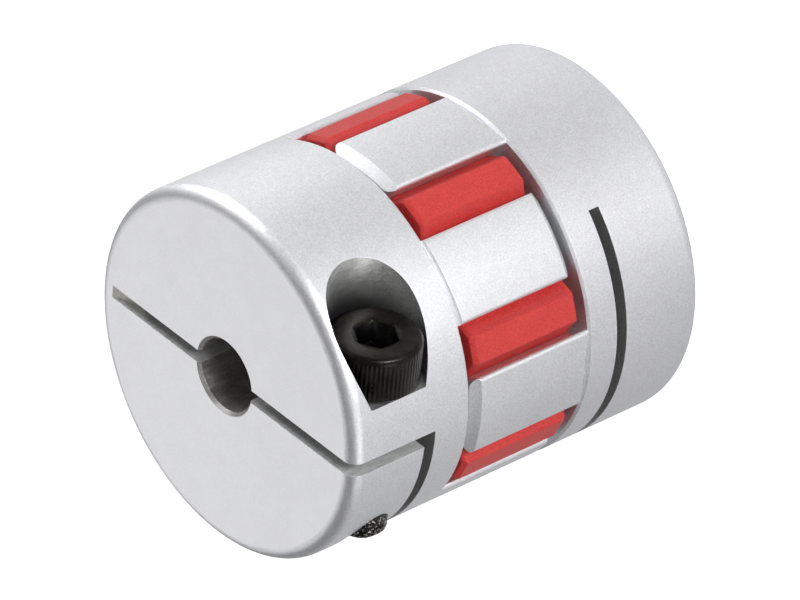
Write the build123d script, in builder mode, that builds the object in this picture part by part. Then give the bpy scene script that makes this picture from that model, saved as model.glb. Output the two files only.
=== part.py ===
from build123d import *
import os
from math import asin, cos, hypot, radians, sin, sqrt

# Jaw coupling for two 6 mm shafts: two slit clamp hubs with four jaws each, an eight-legged
# elastic spider between the jaws, and one socket head cap screw through each hub.
# Millimetres. It stands on the rear hub's end face: +Z is the coupling axis, z = 0 the rear end
# face, and +X points along the front hub's clamp slit.

# Hubs
outer_diameter = 30.0
hub_length = 11.5
hub_spacing = 12.0
rim_radius = 1.1
face_edge_break = 0.2
bore_diameter = 6.0
bore_chamfer = 0.25

# Jaws: angle of one jaw at its outside, and the hollow milled into its flanks
jaws_per_hub = 4
jaw_angle = 28.2
jaw_tip_gap = 0.5
jaw_inner_radius = 7.6
jaw_tip_corner = 0.7
jaw_tip_chamfer = 0.7
jaw_edge_round = 0.34
jaw_angle_from_slit = -1.2
flank_root_width = 4.4
flank_hollow = 0.3

# Clamp slit, and the relief cut across one half of the hub
slit_width = 1.1
slit_hinge = 1.65
slit_ramp_length = 2.8
slit_ramp_depth = 1.0
cut_width = 1.0
cut_past_middle = 0.35
front_cut_from_end = 7.1
rear_cut_from_end = 7.7
rear_slit_angle = 224.4

# Clamp screw, its pocket and its place in a hub
screw_diameter = 4.0
screw_length = 14.0
screw_head_diameter = 7.05
screw_head_height = 4.0
screw_head_round = 0.45
screw_head_foot = 0.25
screw_tip_chamfer = 0.5
socket_width = 3.0
socket_depth = 2.0
socket_mouth = 0.2
screw_from_rim = 3.7
screw_from_end = 4.7
pocket_diameter = 8.0
pocket_floor = 4.53
screw_seat_gap = 0.27
screw_hole_diameter = 4.4
thread_gap = 0.02

# Cutter marks at the jaw roots: straight passes on the rear hub, and one off-centre turned
# recess on the front hub that is deeper on one side of its jaw
rear_mark_depth = 0.45
front_mark_depth = 0.57
front_mark_offset = 0.63

# Spider
spider_end_gap = 0.8
spider_gap = 0.05
ring_gap = 0.3
ring_hole_diameter = 9.0
leg_below_rim = 0.05
leg_root_overlap = 1.0
leg_face_width = 2.2
leg_bevel_drop = 1.05
leg_bevel_width = 0.8
leg_shoulder_drop = 1.5
leg_end_drop = 0.3
leg_end_bevel = 0.35
leg_edge_break = 0.25

# Worked out from the sizes above
radius = outer_diameter / 2
screw_from_axis = radius - screw_from_rim
jaw_height = hub_spacing - jaw_tip_gap
jaw_pitch = 360 / jaws_per_hub
half_pitch = jaw_pitch / 2
half_gap_angle = (half_pitch - jaw_angle) / 2
flank_outer_along = radius * cos(radians(half_gap_angle))
flank_outer_half = radius * sin(radians(half_gap_angle))
flank_inner_half = flank_root_width / 2
flank_inner_along = sqrt(jaw_inner_radius**2 - flank_inner_half**2)
jaw_inner_half_turn = radians(half_pitch / 2) - asin(flank_inner_half / jaw_inner_radius)
jaw_inner_width = 2 * jaw_inner_radius * sin(jaw_inner_half_turn)
rear_jaw_turn = rear_slit_angle - jaw_angle_from_slit - half_pitch
ring_radius = jaw_inner_radius - ring_gap
leg_radius = radius - leg_below_rim
spider_length = hub_spacing - 2 * spider_end_gap
spider_top = hub_length + hub_spacing - spider_end_gap


def turned(along, across, angle):
    """Point given along and across a radial direction, turned to that direction."""
    return (
        along * cos(radians(angle)) - across * sin(radians(angle)),
        along * sin(radians(angle)) + across * cos(radians(angle)),
    )


def gap_half_width(along):
    """Half the width of the gap between two neighbouring jaws, at a distance from the axis."""
    share = (along - flank_inner_along) / (flank_outer_along - flank_inner_along)
    straight = flank_inner_half + share * (flank_outer_half - flank_inner_half)
    return straight + flank_hollow * 4 * share * (1 - share)


def axis_distance(edge):
    """Distance of an edge's middle from the coupling axis."""
    middle = edge.position_at(0.5)
    return hypot(middle.X, middle.Y)


def build_hub(seat, jaw_turn, cut_from_end, pass_turns, recess_turns):
    """One hub on its jaw-side plane: z to its end face, x along its slit, screw head at +y."""
    end = seat.offset(hub_length)
    outward = Axis(seat.origin, seat.z_dir)
    upright = Plane(origin=seat.origin, x_dir=seat.x_dir, z_dir=-seat.y_dir)
    pocket = Plane(
        origin=seat.from_local_coords((screw_from_axis, pocket_floor, hub_length - screw_from_end)),
        x_dir=seat.x_dir,
        z_dir=seat.y_dir,
    )
    flank_middle = (flank_outer_along + flank_inner_along) / 2
    edge_across = gap_half_width(flank_outer_along - jaw_edge_round) + jaw_edge_round
    edge_along = sqrt((radius - jaw_edge_round) ** 2 - edge_across**2)
    edge_out = radius / (radius - jaw_edge_round)
    cut_floor = hub_length - cut_from_end - cut_width

    with BuildPart() as hub:
        # Turned blank, recessed inside the jaws
        with BuildSketch(end):
            Circle(radius)
        extrude(amount=-hub_length - jaw_height)
        fillet(hub.faces().sort_by(outward)[-1].edges(), rim_radius)
        with BuildSketch(seat):
            Circle(jaw_inner_radius)
        extrude(amount=-jaw_height, mode=Mode.SUBTRACT)

        # Wide gaps milled between this hub's jaws, then the tips' corners rounded, as far as the
        # narrow inside of a jaw allows, and the tips chamfered
        with BuildSketch(seat):
            for number in range(jaws_per_hub):
                before = jaw_turn + number * jaw_pitch - half_pitch / 2
                after = jaw_turn + number * jaw_pitch + half_pitch / 2
                with BuildLine():
                    Polyline(
                        turned(flank_inner_along, -flank_inner_half, before),
                        turned(jaw_inner_radius / 2, 0, jaw_turn + number * jaw_pitch),
                        turned(flank_inner_along, flank_inner_half, after),
                    )
                    ThreePointArc(
                        turned(flank_inner_along, flank_inner_half, after),
                        turned(flank_middle, gap_half_width(flank_middle), after),
                        turned(flank_outer_along, flank_outer_half, after),
                    )
                    Polyline(
                        turned(flank_outer_along, flank_outer_half, after),
                        turned(outer_diameter, flank_outer_half, after),
                        turned(outer_diameter, -flank_outer_half, before),
                        turned(flank_outer_along, -flank_outer_half, before),
                    )
                    ThreePointArc(
                        turned(flank_outer_along, -flank_outer_half, before),
                        turned(flank_middle, -gap_half_width(flank_middle), before),
                        turned(flank_inner_along, -flank_inner_half, before),
                    )
                make_face()
        extrude(amount=-jaw_height, mode=Mode.SUBTRACT)
        rims = hub.edges().filter_by_position(outward, -0.01, 0.01)
        chamfer([edge for edge in rims if axis_distance(edge) > radius - 0.01], face_edge_break)
        corners = []
        for tip in hub.faces().sort_by(outward)[:jaws_per_hub]:
            corners.extend(sorted(tip.edges(), key=axis_distance)[1:3])
        fillet(corners, min(jaw_tip_corner, 0.48 * jaw_inner_width))
        with BuildSketch(upright):
            with BuildLine():
                Polyline(
                    (radius - jaw_tip_chamfer, -jaw_height),
                    (radius, jaw_tip_chamfer - jaw_height),
                    (outer_diameter, jaw_tip_chamfer - jaw_height),
                    (outer_diameter, -outer_diameter),
                    (radius - jaw_tip_chamfer, -outer_diameter),
                    close=True,
                )
            make_face()
        revolve(axis=outward, mode=Mode.SUBTRACT)

        # Long outside edges of the jaws rounded, from the roots past the tips
        with BuildSketch(seat):
            for number in range(jaws_per_hub):
                for side in (1, -1):
                    heading = jaw_turn + number * jaw_pitch + side * half_pitch / 2
                    with BuildLine():
                        ThreePointArc(
                            turned(edge_along, side * (edge_across - jaw_edge_round), heading),
                            turned(
                                edge_along + jaw_edge_round * sqrt(0.5),
                                side * (edge_across - jaw_edge_round * sqrt(0.5)),
                                heading,
                            ),
                            turned(edge_along * edge_out, side * edge_across * edge_out, heading),
                        )
                        Polyline(
                            turned(edge_along * edge_out, side * edge_across * edge_out, heading),
                            turned(2 * edge_along, 2 * side * edge_across, heading),
                            turned(2 * edge_along, 0, heading),
                            turned(edge_along, 0, heading),
                            turned(edge_along, side * (edge_across - jaw_edge_round), heading),
                        )
                    make_face()
        extrude(amount=-hub_spacing, mode=Mode.SUBTRACT)

        # Straight cutter passes across the jaw roots
        for turn in pass_turns:
            heading = (Vector(seat.x_dir) * cos(radians(turn))) + (seat.y_dir * sin(radians(turn)))
            across = Plane(origin=seat.origin, x_dir=heading, z_dir=heading.cross(seat.z_dir))
            with BuildSketch(across):
                with BuildLine():
                    Polyline(
                        (radius - rear_mark_depth, 0),
                        (radius + rear_mark_depth, 0),
                        (radius + rear_mark_depth, -2 * rear_mark_depth),
                        close=True,
                    )
                make_face()
            extrude(amount=radius, both=True, mode=Mode.SUBTRACT)

        # Recess turned off centre into a jaw root
        for turn in recess_turns:
            start = Vector(seat.x_dir) * cos(radians(turn)) + seat.y_dir * sin(radians(turn))
            beside = Vector(seat.x_dir) * sin(radians(turn)) - seat.y_dir * cos(radians(turn))
            shifted = seat.origin - beside * front_mark_offset
            with BuildSketch(Plane(origin=shifted, x_dir=start, z_dir=beside)):
                with BuildLine():
                    Polyline(
                        (radius - front_mark_depth, 0),
                        (radius + front_mark_depth, 0),
                        (radius + front_mark_depth, -2 * front_mark_depth),
                        close=True,
                    )
                make_face()
            revolve(
                axis=Axis(shifted, seat.z_dir),
                revolution_arc=half_pitch,
                mode=Mode.SUBTRACT,
            )

        # The edge broken beside the passes and the recess
        for turn in [*recess_turns, *(middle - half_pitch / 2 for middle in pass_turns)]:
            start = Vector(seat.x_dir) * cos(radians(turn)) + seat.y_dir * sin(radians(turn))
            beside = Vector(seat.x_dir) * sin(radians(turn)) - seat.y_dir * cos(radians(turn))
            with BuildSketch(Plane(origin=seat.origin, x_dir=start, z_dir=beside)):
                with BuildLine():
                    Polyline(
                        (radius - face_edge_break, 0),
                        (radius, face_edge_break),
                        (radius + face_edge_break, 0),
                        close=True,
                    )
                make_face()
            revolve(axis=outward, revolution_arc=half_pitch, mode=Mode.SUBTRACT)

        # Bore
        with BuildSketch(end):
            Circle(bore_diameter / 2)
        extrude(amount=-hub_length, mode=Mode.SUBTRACT)
        chamfer(hub.faces().sort_by(outward)[-1].inner_wires()[0].edges(), bore_chamfer)

        # Clamp slit with its sloped run-out, then the relief cut that frees the lower half
        with BuildSketch(upright):
            with BuildLine():
                Polyline(
                    (slit_hinge - radius, hub_length),
                    (slit_hinge - radius + slit_ramp_length, hub_length - slit_ramp_depth),
                    (slit_hinge - radius + slit_ramp_length, cut_floor),
                    (outer_diameter, cut_floor),
                    (outer_diameter, hub_length),
                    close=True,
                )
            make_face()
        extrude(amount=slit_width / 2, both=True, mode=Mode.SUBTRACT)
        with BuildSketch(seat.offset(cut_floor)):
            with BuildLine():
                Polyline(
                    (-outer_diameter, cut_past_middle),
                    (-outer_diameter, -outer_diameter),
                    (outer_diameter, -outer_diameter),
                    (outer_diameter, cut_past_middle),
                    close=True,
                )
            make_face()
        extrude(amount=cut_width, mode=Mode.SUBTRACT)

        # Screw pocket, clearance hole down to the slit, and the tapped hole below it
        with BuildSketch(pocket):
            Circle(pocket_diameter / 2)
        extrude(amount=outer_diameter, mode=Mode.SUBTRACT)
        with BuildSketch(pocket):
            Circle(screw_hole_diameter / 2)
        extrude(amount=-pocket_floor, mode=Mode.SUBTRACT)
        with BuildSketch(pocket):
            Circle(screw_diameter / 2 + thread_gap)
        extrude(amount=-outer_diameter, mode=Mode.SUBTRACT)
    return hub


def build_screw(seat):
    """Clamp screw of the hub on a jaw-side plane, run in but not tightened."""
    under_head = seat.from_local_coords(
        (screw_from_axis, pocket_floor + screw_seat_gap, hub_length - screw_from_end)
    )
    bearing = Plane(origin=under_head, x_dir=seat.x_dir, z_dir=seat.y_dir)
    toward_head = Axis(under_head, seat.y_dir)

    with BuildPart() as screw:
        with BuildSketch(bearing):
            Circle(screw_head_diameter / 2)
        extrude(amount=screw_head_height)
        fillet(screw.faces().sort_by(toward_head)[-1].edges(), screw_head_round)
        chamfer(screw.faces().sort_by(toward_head)[0].edges(), screw_head_foot)
        with BuildSketch(bearing):
            Circle(screw_diameter / 2)
        extrude(amount=-screw_length)
        chamfer(screw.faces().sort_by(toward_head)[0].edges(), screw_tip_chamfer)
        with BuildSketch(bearing.offset(screw_head_height)):
            RegularPolygon(socket_width / 2, 6, major_radius=False, rotation=30)
        extrude(amount=-socket_depth, mode=Mode.SUBTRACT)
        chamfer(screw.faces().sort_by(toward_head)[-1].inner_wires()[0].edges(), socket_mouth)
    return screw


front_seat = Plane(
    origin=(0, 0, hub_length + hub_spacing),
    x_dir=(1, 0, 0),
    z_dir=(0, 0, 1),
)
rear_seat = Plane(
    origin=(0, 0, hub_length),
    x_dir=(*turned(1, 0, rear_slit_angle), 0),
    z_dir=(0, 0, -1),
)

front_hub = build_hub(
    front_seat,
    jaw_angle_from_slit,
    front_cut_from_end,
    [],
    [jaw_angle_from_slit + half_pitch / 2],
)
rear_hub = build_hub(
    rear_seat,
    rear_jaw_turn,
    rear_cut_from_end,
    [rear_jaw_turn + (number + 0.5) * jaw_pitch for number in range(jaws_per_hub)],
    [],
)
front_clamp_screw = build_screw(front_seat)
rear_clamp_screw = build_screw(rear_seat)

# Spider: one leg in every gap between neighbouring jaws, joined by a ring
with BuildPart() as spider:
    leg_bevel_along = leg_radius - leg_bevel_drop
    leg_shoulder_along = leg_radius - leg_shoulder_drop
    leg_middle_along = (leg_shoulder_along + flank_inner_along) / 2
    leg_foot_along = ring_radius - leg_root_overlap
    with BuildSketch(Plane.XY.offset(spider_top)):
        Circle(ring_radius)
        for number in range(2 * jaws_per_hub):
            heading = jaw_angle_from_slit + (number + 0.5) * half_pitch
            outline = []
            for side in (1, -1):
                outline.append(
                    [
                        turned(leg_radius, side * leg_face_width / 2, heading),
                        turned(
                            leg_bevel_along,
                            side * (leg_face_width / 2 + leg_bevel_width),
                            heading,
                        ),
                        turned(
                            leg_shoulder_along,
                            side * (gap_half_width(leg_shoulder_along) - spider_gap),
                            heading,
                        ),
                        turned(
                            leg_middle_along,
                            side * (gap_half_width(leg_middle_along) - spider_gap),
                            heading,
                        ),
                        turned(flank_inner_along, side * (flank_inner_half - spider_gap), heading),
                        turned(leg_foot_along, side * (flank_inner_half - spider_gap), heading),
                    ]
                )
            left, right = outline
            with BuildLine():
                Polyline(left[2], left[1], left[0], right[0], right[1], right[2])
                ThreePointArc(right[2], right[3], right[4])
                Polyline(right[4], right[5], left[5], left[4])
                ThreePointArc(left[4], left[3], left[2])
            make_face()
        Circle(ring_hole_diameter / 2, mode=Mode.SUBTRACT)
    extrude(amount=-spider_length)
    for face in (spider.faces().sort_by(Axis.Z)[-1], spider.faces().sort_by(Axis.Z)[0]):
        chamfer(face.outer_wire().edges(), leg_edge_break)
    with BuildSketch(Plane.XZ):
        for level, inward in ((spider_top, -1), (spider_top - spider_length, 1)):
            with BuildLine():
                Polyline(
                    (leg_radius - leg_end_drop, level),
                    (leg_radius + leg_end_drop, level),
                    (leg_radius + leg_end_drop, level + 2 * inward * leg_end_bevel),
                    close=True,
                )
            make_face()
    revolve(axis=Axis.Z, mode=Mode.SUBTRACT)

os.makedirs("parts", exist_ok=True)

front_hub.part.label = "front_hub"
export_step(front_hub.part, "parts/front_hub.step")
rear_hub.part.label = "rear_hub"
export_step(rear_hub.part, "parts/rear_hub.step")
spider.part.label = "spider"
export_step(spider.part, "parts/spider.step")
front_clamp_screw.part.label = "front_clamp_screw"
export_step(front_clamp_screw.part, "parts/front_clamp_screw.step")
rear_clamp_screw.part.label = "rear_clamp_screw"
export_step(rear_clamp_screw.part, "parts/rear_clamp_screw.step")
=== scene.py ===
"""Shaft coupling: its finishes, its detailed screws, and the studio it stands in."""
import math

import bpy
from mathutils import Euler, Matrix, Vector


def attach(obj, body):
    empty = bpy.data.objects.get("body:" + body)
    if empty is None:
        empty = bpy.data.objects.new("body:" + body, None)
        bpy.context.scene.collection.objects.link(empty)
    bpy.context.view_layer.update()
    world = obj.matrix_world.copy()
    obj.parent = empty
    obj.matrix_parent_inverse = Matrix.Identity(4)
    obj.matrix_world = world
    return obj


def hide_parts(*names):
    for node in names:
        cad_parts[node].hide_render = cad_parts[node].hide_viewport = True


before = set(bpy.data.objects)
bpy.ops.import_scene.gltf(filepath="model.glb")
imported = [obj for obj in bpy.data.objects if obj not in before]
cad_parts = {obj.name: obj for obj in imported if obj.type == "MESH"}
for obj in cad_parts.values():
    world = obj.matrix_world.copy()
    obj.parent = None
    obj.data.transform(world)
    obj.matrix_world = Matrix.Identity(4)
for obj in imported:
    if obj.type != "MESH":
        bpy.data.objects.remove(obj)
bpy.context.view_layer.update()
scene = bpy.context.scene

MM = 0.001

# The coupling's axis is Z, and its rear end face lies at zero.
OUTSIDE = 15.0 * MM
REAR_FACE = 0.0
FRONT_FACE = 35.0 * MM
REAR_TURN = 224.4
RIM_ROUND = 1.1 * MM

# Regions of a hub: depths in from its end face, radii, and distances across its slit.
FLUSH = 0.01 * MM
CUT_START = 7.0 * MM
CUT_END = 9.0 * MM
CUT_REACH = 0.4 * MM
SLIT_REACH = 0.6 * MM
BODY_END = 11.4 * MM
ROOT_START = 11.45 * MM
ROOT_OUTSIDE = OUTSIDE - 0.4 * MM
BORED_OUTSIDE = OUTSIDE - 0.3 * MM
POCKET_RADIUS = 6.5 * MM
POCKET_REACH = 2.0 * MM
POCKET_FLOOR = 11.2 * MM
POCKET_MOUTH = 14.8 * MM

# How much of a face's normal points along a direction that the face looks in.
SQUARE = 0.99
NEARLY = 0.9
BACKWARD = -0.5

# The clamp screws, whose own lengths start at the underside of the head.
SCREW_OUT = 11.3 * MM
SCREW_DEPTH = 4.7 * MM
HEAD_UNDERSIDE = 4.8 * MM
HEAD_HEIGHT = 4.0 * MM
KNURL_RIDGES = 64.0
KNURL_START = 0.35 * MM
KNURL_END = 3.45 * MM
KNURL_INSIDE = 3.3 * MM
SHANK_START = -0.3 * MM
SHANK_OUTSIDE = 2.3 * MM
THREAD_PITCH = 0.7 * MM
SOCKET_OUTSIDE = 1.8 * MM
SOCKET_TOP = 3.86 * MM
MOUTH_BOTTOM_RADIUS = 1.5 * MM
MOUTH_TOP_RADIUS = 2.355 * MM
MOUTH_DEPTH = 0.28 * MM
MOUTH_SINK = 0.04 * MM
MOUTH_CORNERS = 96
SMOOTH_UNDER = math.radians(32)

# Finishes: the range that most of a noise keeps to, a narrower one, and the lathe's ring pitch.
MOST = (0.3, 0.7)
MIDDLE = (0.35, 0.65)
RING_PITCH = 0.11 * MM

# The camera stands far off with a long lens. Its place is in millimetres, its turn in degrees.
CAMERA_PLACE = (367.625, 361.933, 366.922)
CAMERA_TURN = (-30.8586, 49.2178, 6.2878)
CAMERA_LENS = 366.7

# Each light's place, its width and height in millimetres, and its power in watts.
LIGHTS = {
    "near_strip": ((195, 163, 54), (70, 110), 0.47),
    "left_strip": ((-180, 180, 54), (70, 110), 0.33),
    "right_strip": ((245, -100, 54), (110, 110), 0.11),
    "back_sky": ((-244, -244, 290), (300, 300), 0.36),
    "left_sky": ((-244, 244, 290), (300, 300), 0.19),
    "front_sky": ((230, 60, 300), (240, 240), 0.03),
}
LIT_POINT = (0, 0, 18)
WHITE = (1.0, 1.0, 1.0)
WORLD_LIGHT = 0.18
FLOOR_WIDTH = 6.0
FLOOR_GLOW = 0.8


class Side:
    """One side of the coupling: its hub's end face and turn, and the place of its clamp screw."""

    def __init__(self, end, outward, turn):
        self.end = end
        self.outward = outward
        self.turn = math.radians(turn)
        self.aside = Vector((math.cos(self.turn), math.sin(self.turn), 0.0))
        self.screw_level = end - outward * SCREW_DEPTH


class Amount:
    """A number on its way through a finish, so that shader maths reads as arithmetic."""

    def __init__(self, finish, socket):
        self.finish = finish
        self.socket = socket

    def __add__(self, other):
        return self.finish.math("ADD", self, other)

    __radd__ = __add__

    def __sub__(self, other):
        return self.finish.math("SUBTRACT", self, other)

    def __rsub__(self, other):
        return self.finish.math("SUBTRACT", other, self)

    def __mul__(self, other):
        return self.finish.math("MULTIPLY", self, other)

    __rmul__ = __mul__

    def __truediv__(self, other):
        return self.finish.math("DIVIDE", self, other)

    def __rtruediv__(self, other):
        return self.finish.math("DIVIDE", other, self)

    def __lt__(self, other):
        return self.finish.math("LESS_THAN", self, other)

    def __gt__(self, other):
        return self.finish.math("GREATER_THAN", self, other)

    def ramp(self, low, high, start=0.0, end=1.0):
        """Turns low..high into start..end, smoothly and held at both ends."""
        settings = {"interpolation_type": "SMOOTHSTEP", "clamp": True}
        return self.finish.amount(
            "ShaderNodeMapRange", settings, {0: self, 1: low, 2: high, 3: start, 4: end}
        )

    def wave(self):
        """Turns an angle in radians into a sine wave from 0 to 1."""
        return self.finish.math("SINE", self) * 0.5 + 0.5


class Finish:
    """One surface finish: a Principled shader, and the nodes that feed it."""

    def __init__(self, name, **surface):
        self.material = bpy.data.materials.new(name)
        self.material.use_nodes = True
        self.tree = self.material.node_tree
        self.tree.nodes.clear()
        self.shader = self.node("ShaderNodeBsdfPrincipled", {}, {})
        self.end = self.node("ShaderNodeOutputMaterial", {}, {0: self.shader.outputs[0]})
        for socket, value in surface.items():
            self.set(socket.replace("_", " "), value)
        self.place = self.node("ShaderNodeTexCoord", {}, {}).outputs["Object"]
        split = self.node("ShaderNodeSeparateXYZ", {}, {0: self.place})
        self.x, self.y, self.z = (Amount(self, socket) for socket in split.outputs)

    def node(self, kind, settings, sockets):
        """Adds one node: its settings first, then the values or links of its sockets."""
        made = self.tree.nodes.new(kind)
        for name, value in settings.items():
            setattr(made, name, value)
        for socket, value in sockets.items():
            self.feed(made.inputs[socket], value)
        return made

    def feed(self, target, value):
        """Links or sets one input socket. A colour is given without its alpha."""
        if isinstance(value, Amount):
            value = value.socket
        if isinstance(value, bpy.types.NodeSocket):
            self.tree.links.new(value, target)
        elif target.type == "RGBA":
            target.default_value = (*value, 1.0)
        else:
            target.default_value = value

    def set(self, socket, value):
        """Links or sets one socket of the shader."""
        self.feed(self.shader.inputs[socket], value)

    def amount(self, kind, settings, sockets):
        """Adds one node and takes its first output as an amount."""
        return Amount(self, self.node(kind, settings, sockets).outputs[0])

    def math(self, operation, *terms):
        """Works on one or two terms, each an amount or a plain number."""
        return self.amount("ShaderNodeMath", {"operation": operation}, dict(enumerate(terms)))

    def length(self, first, second):
        """The length of a line that runs first one way and second square to it."""
        return self.math("SQRT", first * first + second * second)

    def grain(self, size, detail=2.0, roughness=0.5, stretch=None):
        """Soft noise from 0 to 1, with grains size millimetres across."""
        place = self.place
        if stretch:
            sockets = {"Vector": place, "Scale": stretch}
            place = self.node("ShaderNodeMapping", {}, sockets).outputs[0]
        return self.amount(
            "ShaderNodeTexNoise",
            {},
            {"Vector": place, "Scale": 1.0 / (size * MM), "Detail": detail, "Roughness": roughness},
        )

    def pits(self, size):
        """Small round hollows, size millimetres apart, from 0 in the middle to 1."""
        sockets = {"Vector": self.place, "Scale": 1.0 / (size * MM)}
        return self.amount("ShaderNodeTexVoronoi", {}, sockets)

    def blend(self, share, first, second):
        """Mixes two colours by a share from 0 to 1."""
        sockets = {0: share, 6: first, 7: second}
        return self.node("ShaderNodeMix", {"data_type": "RGBA"}, sockets).outputs[2]

    def colour(self, share, dark, light):
        """Colours the surface from dark to light by a share from 0 to 1."""
        self.set("Base Color", self.blend(share, dark, light))

    def roughen(self, noise, least, most):
        """Spreads the surface's roughness from least to most by a noise."""
        self.set("Roughness", noise.ramp(*MOST, least, most))

    def relief(self, height, depth, strength, edge):
        """Raises the surface by depth millimetres times a height, and rounds its edges by edge."""
        worn = self.node("ShaderNodeBevel", {"samples": 6}, {"Radius": edge * MM}).outputs[0]
        sockets = {"Height": height, "Distance": depth * MM, "Strength": strength, "Normal": worn}
        self.set("Normal", self.node("ShaderNodeBump", {}, sockets).outputs[0])


def blasted_aluminium():
    """Clear anodised aluminium, bead blasted: a fine even speckle with faint clouds."""
    finish = Finish("blasted_aluminium", Metallic=1.0)
    clouds = finish.grain(1.2, detail=4.0, roughness=0.6)
    grit = finish.grain(0.13, roughness=0.7)
    cells = finish.pits(0.16)
    shade = clouds.ramp(*MOST) * 0.12 + grit.ramp(*MOST) * 0.88
    finish.colour(shade, dark=(0.73, 0.735, 0.77), light=(0.90, 0.905, 0.925))
    finish.roughen(grit, 0.46, 0.58)
    finish.relief(grit * 0.6 + cells * 0.4, depth=0.014, strength=0.4, edge=0.05)
    return finish.material


def turned_aluminium():
    """The hubs' end faces: turned flat, then anodised to a soft satin."""
    finish = Finish("turned_aluminium", Metallic=1.0)
    clouds = finish.grain(2.0, detail=4.0)
    grit = finish.grain(0.12)
    shade = clouds.ramp(*MOST) * 0.15 + grit.ramp(*MOST) * 0.85
    finish.colour(shade, dark=(0.765, 0.765, 0.79), light=(0.87, 0.875, 0.89))
    finish.roughen(grit, 0.48, 0.56)
    rings = (finish.length(finish.x, finish.y) / RING_PITCH * math.tau).wave()
    finish.relief(rings * 0.25 + grit * 0.75, depth=0.004, strength=0.3, edge=0.05)
    return finish.material


def milled_aluminium(name, metallic, dark, light, floor=None):
    """Cutter marks under the anodising. Where a floor colour is given, painted shade darkens the
    colour down to it towards the pocket's floor.
    """
    finish = Finish(name, Metallic=metallic)
    marks = finish.grain(0.25, detail=3.0, stretch=(1.0, 1.0, 0.25))
    grit = finish.grain(0.09, roughness=0.7)
    shade = marks.ramp(*MOST) * 0.4 + grit.ramp(*MIDDLE) * 0.6
    if floor:
        # Painted shade: the colour darkens from the pocket's mouth down to its floor.
        radius = finish.length(finish.x, finish.y)
        clear_of_painted_shade = radius.ramp(POCKET_FLOOR, POCKET_MOUTH)
        finish.colour(clear_of_painted_shade, dark=floor, light=finish.blend(shade, dark, light))
    else:
        finish.colour(shade, dark, light)
    finish.roughen(marks, 0.34, 0.46)
    finish.relief(marks * 0.5 + grit * 0.5, depth=0.012, strength=0.45, edge=0.03)
    return finish.material


def flank_aluminium():
    """Flanks and floors between the jaws: the same blasted aluminium, a little smoother."""
    finish = Finish("flank_aluminium", Metallic=1.0)
    grit = finish.grain(0.13)
    finish.colour(grit.ramp(*MOST), dark=(0.80, 0.80, 0.82), light=(0.88, 0.88, 0.90))
    finish.roughen(grit, 0.40, 0.48)
    finish.relief(grit, depth=0.006, strength=0.25, edge=0.05)
    return finish.material


def red_polyurethane():
    """The spider: cast polyurethane, a satin red with a fine speckle where it catches light."""
    finish = Finish(
        "red_polyurethane", IOR=1.5, Subsurface_Weight=0.35, Subsurface_Scale=0.8 * MM
    )
    clouds = finish.grain(1.6, detail=3.0)
    speckle = finish.grain(0.12, roughness=0.7)
    flecks = finish.pits(0.34)
    shade = clouds.ramp(*MOST) * 0.15 + speckle.ramp(*MIDDLE) * 0.85
    finish.colour(shade, dark=(0.46, 0.024, 0.022), light=(0.60, 0.050, 0.044))
    finish.roughen(speckle, 0.34, 0.5)
    finish.relief(speckle * 0.7 + flecks * 0.3, depth=0.03, strength=0.6, edge=0.18)
    return finish.material


def black_oxide(name, side):
    """A screw in oiled black oxide, knurled and threaded. Light specks on its shank are bare metal
    and painted glints, and its hexagon socket holds painted shade.
    """
    finish = Finish(name, Metallic=0.85)
    clouds = finish.grain(0.9, detail=4.0, roughness=0.6)
    grit = finish.grain(0.08)
    # Light specks on the shank: bare metal, and painted glints on the thread.
    bare_and_glint_specks = finish.grain(0.22).ramp(0.55, 0.64)
    across = finish.x * side.aside.x + finish.y * side.aside.y - SCREW_OUT
    above = finish.z - side.screw_level
    along = finish.y * side.aside.x - finish.x * side.aside.y
    along = along * side.outward - HEAD_UNDERSIDE
    reach = finish.length(across, above)
    angle = finish.math("ARCTAN2", above, across)
    head = (reach > KNURL_INSIDE) * (along > KNURL_START) * (along < KNURL_END)
    knurl = (angle * KNURL_RIDGES).wave() * head
    shank = (along < SHANK_START) * (reach < SHANK_OUTSIDE)
    thread = (along / THREAD_PITCH * math.tau + angle).wave() * shank
    # Painted shade: the inside of the hexagon socket is painted near black.
    socket = (reach < SOCKET_OUTSIDE) * (along < SOCKET_TOP) * (along > 0.0)
    oiled = finish.blend(clouds.ramp(0.42, 0.7), (0.015, 0.0135, 0.012), (0.028, 0.025, 0.020))
    bare_metal_and_glints = finish.blend(shank * bare_and_glint_specks, oiled, (0.60, 0.59, 0.57))
    finish.set("Base Color", finish.blend(socket, bare_metal_and_glints, (0.003, 0.003, 0.003)))
    finish.roughen(clouds, 0.26, 0.4)
    height = clouds * 0.04 + grit * 0.03 + knurl * 0.3 + thread * 1.5
    finish.relief(height, depth=0.2, strength=0.8, edge=0.04)
    return finish.material


def pick_alone(piece):
    """Selects one object and makes it the active one."""
    bpy.ops.object.select_all(action="DESELECT")
    piece.select_set(True)
    bpy.context.view_layer.objects.active = piece


def copied(node, name):
    """Copies a CAD node as a piece of its own."""
    pick_alone(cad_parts[node])
    bpy.ops.object.duplicate()
    piece = bpy.context.active_object
    piece.name = name
    piece.data.name = name
    piece.parent = None
    for key in list(piece.keys()):
        del piece[key]
    piece.data.materials.clear()
    return piece


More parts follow.
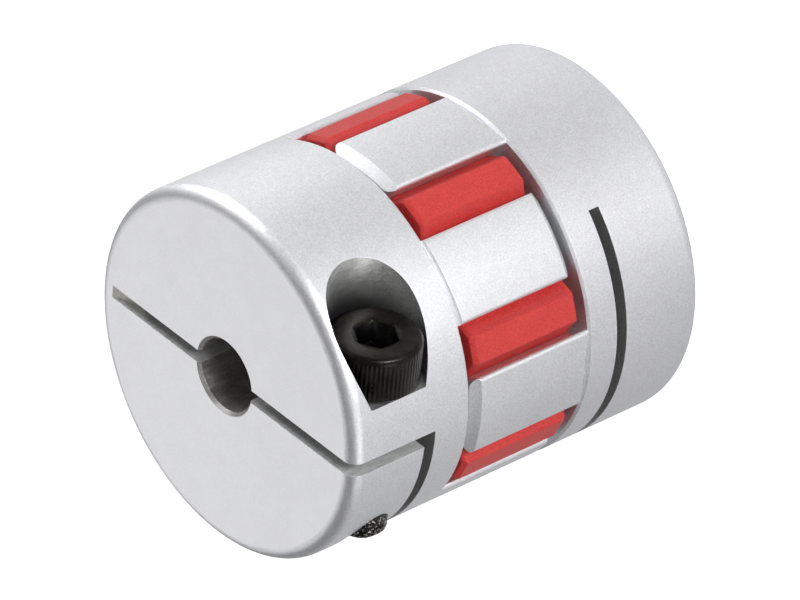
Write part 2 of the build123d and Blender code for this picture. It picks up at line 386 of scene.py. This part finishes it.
def hub_region(middle, normal, depth, outward):
    """Names the region of a hub that a face is in.

    The face's middle and normal are turned so that the slit lies along X. Its depth is measured in
    from the end face, and outward is 1 or -1, the way that the end face looks along Z.
    """
    radius = math.hypot(middle.x, middle.y)
    across = middle.y * outward
    endward = normal.z * outward
    sideward = (normal.x * middle.x + normal.y * middle.y) / max(radius, MM)
    rim_across = (radius - OUTSIDE + RIM_ROUND) / RIM_ROUND
    rim_up = (RIM_ROUND - depth) / RIM_ROUND
    if depth < FLUSH and endward > SQUARE:
        return "turned"
    if min(rim_across, rim_up) > 0.0 and sideward * rim_across + endward * rim_up > NEARLY:
        return "blasted"
    if CUT_START < depth < CUT_END and abs(endward) > SQUARE and across < CUT_REACH:
        return "cut"
    if 0.0 < depth < CUT_END and abs(normal.y) > NEARLY and abs(across) < SLIT_REACH:
        return "slit"
    if depth > ROOT_START and endward > BACKWARD and radius < ROOT_OUTSIDE:
        return "flank"
    if 0.0 < depth < BODY_END and endward < SQUARE and radius < BORED_OUTSIDE:
        return "pocket" if radius > POCKET_RADIUS and across > POCKET_REACH else "milled"
    return "blasted"


def finish_hub(node, name, side, finishes):
    """Dresses one hub: blasted outside, turned end face, milled bore, slit, cut and pocket."""
    piece = copied(node, name)
    for material in finishes.values():
        piece.data.materials.append(material)
    regions = list(finishes)
    unturned = Matrix.Rotation(-side.turn, 4, "Z")
    for face in piece.data.polygons:
        depth = (side.end - face.center.z) * side.outward
        region = hub_region(unturned @ face.center, unturned @ face.normal, depth, side.outward)
        face.material_index = regions.index(region)
    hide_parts(node)
    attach(piece, "root")


def finish_spider():
    """Dresses the spider in red polyurethane with soft moulded edges."""
    piece = copied("spider", "spider_legs")
    piece.data.materials.append(red_polyurethane())
    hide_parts("spider")
    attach(piece, "root")


def finish_screw(node, name, side, material):
    """Dresses one clamp screw and sinks a round mouth into its hexagon socket."""
    piece = copied(node, name)
    piece.data.materials.append(material)
    toward = Vector((-side.aside.y, side.aside.x, 0.0)) * side.outward
    level = Vector((0.0, 0.0, side.screw_level))
    top = side.aside * SCREW_OUT + toward * (HEAD_UNDERSIDE + HEAD_HEIGHT) + level
    bpy.ops.mesh.primitive_cone_add(
        vertices=MOUTH_CORNERS,
        radius1=MOUTH_BOTTOM_RADIUS,
        radius2=MOUTH_TOP_RADIUS,
        depth=MOUTH_DEPTH,
        location=top - toward * MOUTH_SINK,
        rotation=toward.to_track_quat("Z", "Y").to_euler(),
    )
    mouth = bpy.context.active_object
    mouth.name = name + "_mouth"
    pick_alone(piece)
    sink = piece.modifiers.new("sink", "BOOLEAN")
    sink.operation = "DIFFERENCE"
    sink.solver = "EXACT"
    sink.object = mouth
    bpy.ops.object.modifier_apply(modifier="sink")
    pick_alone(mouth)
    bpy.ops.object.delete()
    pick_alone(piece)
    bpy.ops.object.shade_smooth_by_angle(angle=SMOOTH_UNDER)
    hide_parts(node)
    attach(piece, "root")


def point_camera():
    """Sets the camera to the photograph's viewing angle."""
    data = bpy.data.cameras.new("camera")
    data.lens = CAMERA_LENS
    data.sensor_width = 36.0
    data.clip_start = 0.05
    data.clip_end = 20.0
    camera = bpy.data.objects.new("camera", data)
    scene.collection.objects.link(camera)
    camera.location = Vector(CAMERA_PLACE) * MM
    camera.rotation_euler = Euler([math.radians(turn) for turn in CAMERA_TURN], "XYZ")
    scene.camera = camera


def lay_floor():
    """A plain pale floor at the coupling's base, white to the camera except in its shadow."""
    bpy.ops.mesh.primitive_plane_add(size=FLOOR_WIDTH, location=(0, 0, REAR_FACE))
    floor = bpy.context.active_object
    floor.name = "floor"
    finish = Finish("pale_floor", Roughness=0.8, Base_Color=(0.86, 0.86, 0.86))
    path = finish.node("ShaderNodeLightPath", {}, {})
    seen = Amount(finish, path.outputs["Is Camera Ray"])
    glow = finish.node("ShaderNodeEmission", {}, {0: WHITE, 1: seen * FLOOR_GLOW})
    shaders = {0: finish.shader.outputs[0], 1: glow.outputs[0]}
    both = finish.node("ShaderNodeAddShader", {}, shaders)
    finish.feed(finish.end.inputs[0], both.outputs[0])
    floor.data.materials.append(finish.material)


def light_world():
    """Fills the studio with a low even light from all round."""
    world = bpy.data.worlds.new("studio")
    scene.world = world
    world.use_nodes = True
    background = world.node_tree.nodes["Background"]
    background.inputs["Color"].default_value = (*WHITE, 1.0)
    background.inputs["Strength"].default_value = WORLD_LIGHT


def softbox(name, place, size, power):
    """Hangs a soft rectangular light that faces the coupling's middle."""
    data = bpy.data.lights.new(name, "AREA")
    data.shape = "RECTANGLE"
    data.size = size[0] * MM
    data.size_y = size[1] * MM
    data.energy = power
    light = bpy.data.objects.new(name, data)
    scene.collection.objects.link(light)
    light.location = Vector(place) * MM
    aim = Vector(LIT_POINT) - Vector(place)
    light.rotation_euler = aim.to_track_quat("-Z", "Y").to_euler()
    light.visible_camera = False


front = Side(FRONT_FACE, 1.0, 0.0)
rear = Side(REAR_FACE, -1.0, REAR_TURN)
hub_finishes = {
    "blasted": blasted_aluminium(),
    "turned": turned_aluminium(),
    "milled": milled_aluminium(
        "milled_aluminium", metallic=0.9, dark=(0.50, 0.49, 0.47), light=(0.74, 0.73, 0.70)
    ),
    "flank": flank_aluminium(),
    "slit": milled_aluminium(
        "slit_aluminium", metallic=0.5, dark=(0.50, 0.505, 0.505), light=(0.84, 0.845, 0.84)
    ),
    "cut": milled_aluminium(
        "cut_aluminium", metallic=0.7, dark=(0.34, 0.342, 0.34), light=(0.56, 0.562, 0.555)
    ),
    "pocket": milled_aluminium(
        "pocket_aluminium_painted_shade",
        metallic=0.85,
        dark=(0.62, 0.625, 0.62),
        light=(0.90, 0.905, 0.89),
        # Painted shade at the pocket's floor, beside the screw head.
        floor=(0.07, 0.07, 0.07),
    ),
}

point_camera()
lay_floor()
finish_hub("front_hub", "front_hub_body", front, hub_finishes)
finish_hub("rear_hub", "rear_hub_body", rear, hub_finishes)
finish_spider()
finish_screw("front_clamp_screw", "front_screw", front, black_oxide("black_oxide_front", front))
finish_screw("rear_clamp_screw", "rear_screw", rear, black_oxide("black_oxide_rear", rear))
light_world()
for name, (place, size, power) in LIGHTS.items():
    softbox(name, place, size, power)

scene.view_settings.view_transform = "Standard"
